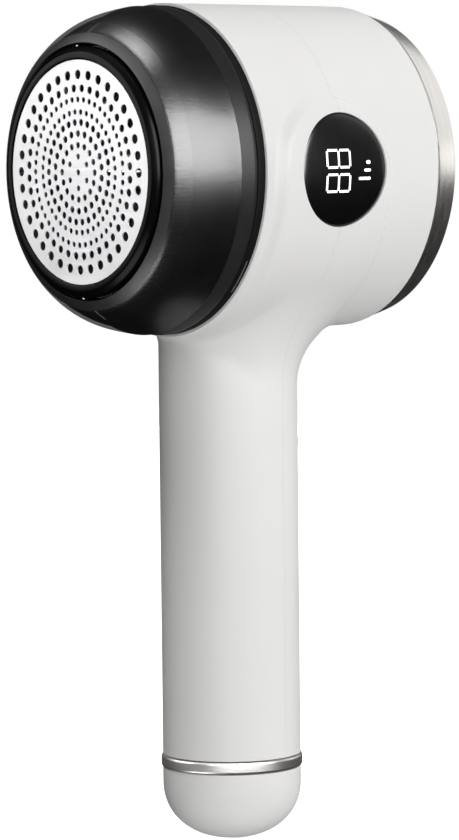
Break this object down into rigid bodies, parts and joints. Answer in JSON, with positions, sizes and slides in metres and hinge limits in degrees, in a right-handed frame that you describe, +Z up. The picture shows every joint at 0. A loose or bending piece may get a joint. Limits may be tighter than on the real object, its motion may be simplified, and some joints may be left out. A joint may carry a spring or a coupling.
{
  "type": "fabric shaver",
  "caption": "Hand-held fabric shaver: a round head with a perforated steel foil in a smoked guard, on a straight round handle with a side display.",
  "frame": {"origin": "point where the head's axis and the handle's axis cross, inside the head", "axes": "+Z up along the handle's axis towards the head, -Y out of the cutting face along the head's axis, +X out of the display"},
  "size_m": [0.0797, 0.0849, 0.2002],
  "materials": {
    "white_shell": "satin",
    "smoked_clear": "gloss",
    "black_plastic": "gloss",
    "grey_plastic": "satin",
    "natural_plastic": "matt",
    "silver_trim": "brushed",
    "steel": "bright",
    "brass": "satin",
    "soft_black": "matt",
    "board": "satin",
    "cell_wrap": "satin",
    "filter_cloth": "matt",
    "red_wire": "satin"
  },
  "bodies": {
    "housing": {"front_housing": "white_shell", "rear_housing": "white_shell", "housing_screw_1": "steel", "housing_screw_2": "steel", "housing_screw_3": "steel", "housing_screw_4": "steel", "guard_gasket": "soft_black", "guard_base_ring": "grey_plastic", "rear_trim_ring": "silver_trim", "cutter_chamber": "grey_plastic", "motor_can": "steel", "motor_end_bell": "black_plastic", "front_bearing": "brass", "rear_bearing": "brass", "motor_magnet_1": "grey_plastic", "motor_magnet_2": "grey_plastic", "motor_bracket": "grey_plastic", "motor_screw_1": "steel", "motor_screw_2": "steel", "bin_bay_liner": "natural_plastic", "display_lens": "black_plastic", "display_carrier": "black_plastic", "display_board": "board", "battery_cell": "cell_wrap", "battery_cradle": "natural_plastic", "main_board": "board", "power_switch": "grey_plastic", "handle_trim_ring": "silver_trim", "end_cap": "white_shell", "usb_socket": "steel", "motor_lead_red": "red_wire", "motor_lead_black": "soft_black"},
    "guard": {"guard_shell": "smoked_clear"},
    "grip_ring": {"grip_ring": "black_plastic"},
    "foil_cartridge": {"foil_screen": "steel", "foil_frame": "black_plastic", "foil_retainer": "grey_plastic"},
    "rotor": {"drive_shaft": "steel", "rotor_core": "steel", "commutator": "brass", "impeller": "natural_plastic", "cutter_spring": "steel"},
    "cutter": {"cutter_hub": "grey_plastic", "cutter_blade_1": "steel", "cutter_blade_2": "steel", "cutter_blade_3": "steel", "cutter_blade_4": "steel", "cutter_blade_5": "steel", "cutter_blade_6": "steel"},
    "lint_bin": {"bin_cup": "natural_plastic", "bin_cap": "white_shell", "bin_filter": "filter_cloth", "bin_seal": "soft_black"},
    "power_button": {"button_cap": "white_shell"}
  },
  "joints": [
    {"name": "guard_pull", "type": "slide", "parent": "housing", "child": "guard", "axis": [0, -1, 0], "range_m": [0, 0.03]},
    {"name": "grip_ring_twist", "type": "hinge", "parent": "housing", "child": "grip_ring", "pos_m": [0, -0.03, 0], "axis": [0, -1, 0], "range_deg": [0, 25]},
    {"name": "foil_pull", "type": "slide", "parent": "grip_ring", "child": "foil_cartridge", "axis": [0, -1, 0], "range_m": [0, 0.025]},
    {"name": "motor_spin", "type": "hinge", "parent": "housing", "child": "rotor", "pos_m": [0, 0, 0], "axis": [0, 1, 0], "continuous": true},
    {"name": "cutter_float", "type": "slide", "parent": "rotor", "child": "cutter", "axis": [0, 1, 0], "range_m": [0, 0.001], "stiffness_N_per_m": 900, "deforming": ["cutter_spring"]},
    {"name": "bin_pull", "type": "slide", "parent": "housing", "child": "lint_bin", "axis": [0, 1, 0], "range_m": [0, 0.035]},
    {"name": "power_button_press", "type": "slide", "parent": "housing", "child": "power_button", "axis": [0, -1, 0], "range_m": [0, 0.0008], "stiffness_N_per_m": 600}
  ]
}
